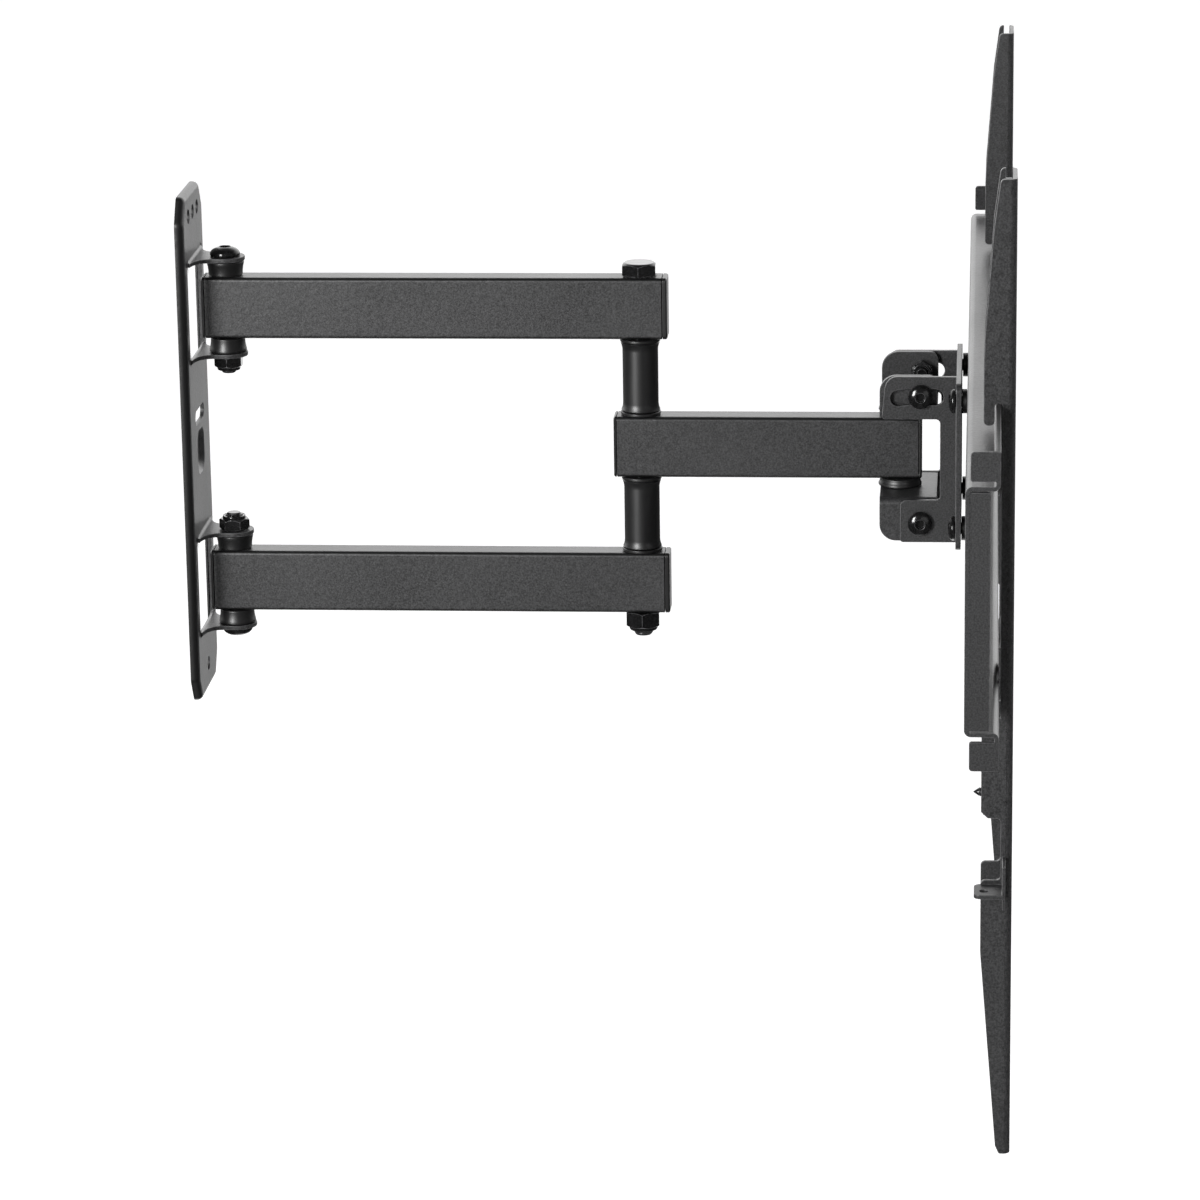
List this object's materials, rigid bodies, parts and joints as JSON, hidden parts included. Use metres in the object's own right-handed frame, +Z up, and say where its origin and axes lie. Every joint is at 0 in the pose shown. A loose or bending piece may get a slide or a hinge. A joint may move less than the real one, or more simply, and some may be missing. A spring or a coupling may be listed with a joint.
{
  "type": "tv wall mount",
  "caption": "Full motion TV wall mount: paired swinging arms, an elbow, a swivelling and tilting head, a cross rail and sliding TV brackets.",
  "frame": {"origin": "middle of the back of the wall plate, on the wall", "axes": "+X out of the wall towards the TV, +Z up, +Y along the wall; joint value 0 is the arms straight out from the wall and the head square to them"},
  "size_m": [0.3985, 0.6, 0.449],
  "materials": {
    "powder_coat": "fine textured matt powder coat",
    "black_plastic": "satin moulded plastic",
    "black_steel": "glossy black oxide"
  },
  "bodies": {
    "wall": {"lower_wall_bolt": "black_steel", "lower_wall_nut": "black_steel", "upper_wall_bolt": "black_steel", "upper_wall_nut": "black_steel", "wall_plate": "powder_coat"},
    "arms": {"elbow_bolt": "black_steel", "elbow_nut": "black_steel", "lower_arm": "powder_coat", "lower_arm_bottom_bushing": "black_plastic", "lower_arm_elbow_cap": "black_plastic", "lower_arm_top_bushing": "black_plastic", "lower_arm_wall_cap": "black_plastic", "lower_elbow_sleeve": "black_plastic", "lower_inner_washer": "black_plastic", "lower_outer_washer": "black_plastic", "upper_arm": "powder_coat", "upper_arm_bottom_bushing": "black_plastic", "upper_arm_elbow_cap": "black_plastic", "upper_arm_top_bushing": "black_plastic", "upper_arm_wall_cap": "black_plastic", "upper_elbow_sleeve": "black_plastic", "upper_inner_washer": "black_plastic", "upper_outer_washer": "black_plastic"},
    "mid_arm": {"lower_head_bushing": "black_plastic", "mid_arm": "powder_coat", "mid_arm_elbow_cap": "black_plastic", "mid_arm_head_cap": "black_plastic", "upper_head_bushing": "black_plastic"},
    "swivel_head": {"far_lower_tilt_bolt": "black_steel", "far_lower_tilt_nut": "black_steel", "far_upper_tilt_bolt": "black_steel", "far_upper_tilt_nut": "black_steel", "head_pivot_bolt": "black_steel", "head_pivot_nut": "black_steel", "lower_clevis": "powder_coat", "near_lower_tilt_bolt": "black_steel", "near_lower_tilt_nut": "black_steel", "near_upper_tilt_bolt": "black_steel", "near_upper_tilt_nut": "black_steel", "upper_clevis": "powder_coat"},
    "tilt_head": {"far_lower_plate_bolt": "black_steel", "far_lower_plate_nut": "black_steel", "far_lower_plate_spacer": "black_plastic", "far_upper_plate_bolt": "black_steel", "far_upper_plate_nut": "black_steel", "far_upper_plate_spacer": "black_plastic", "near_lower_plate_bolt": "black_steel", "near_lower_plate_nut": "black_steel", "near_lower_plate_spacer": "black_plastic", "near_upper_plate_bolt": "black_steel", "near_upper_plate_nut": "black_steel", "near_upper_plate_spacer": "black_plastic", "tilt_bracket": "powder_coat", "tv_rail": "powder_coat"},
    "near_bracket": {"near_lock_screw": "black_steel", "near_tv_bracket": "powder_coat"},
    "far_bracket": {"far_lock_screw": "black_steel", "far_tv_bracket": "powder_coat"}
  },
  "joints": [
    {"name": "wall_swivel", "type": "hinge", "parent": "wall", "child": "arms", "pos_m": [0.0195, 0, 0], "axis": [0, 0, 1], "range_deg": [-90, 90]},
    {"name": "elbow", "type": "hinge", "parent": "arms", "child": "mid_arm", "pos_m": [0.2195, 0, 0], "axis": [0, 0, 1], "range_deg": [-90, 90]},
    {"name": "head_swivel", "type": "hinge", "parent": "mid_arm", "child": "swivel_head", "pos_m": [0.3445, 0, 0], "axis": [0, 0, 1], "range_deg": [-30, 30]},
    {"name": "tilt", "type": "hinge", "parent": "swivel_head", "child": "tilt_head", "pos_m": [0.3545, 0, -0.031], "axis": [0, 1, 0], "range_deg": [-6, 9]},
    {"name": "near_bracket_slide", "type": "slide", "parent": "tilt_head", "child": "near_bracket", "axis": [0, -1, 0], "range_m": [-0.1, 0.08]},
    {"name": "far_bracket_slide", "type": "slide", "parent": "tilt_head", "child": "far_bracket", "axis": [0, 1, 0], "range_m": [-0.1, 0.08]}
  ]
}
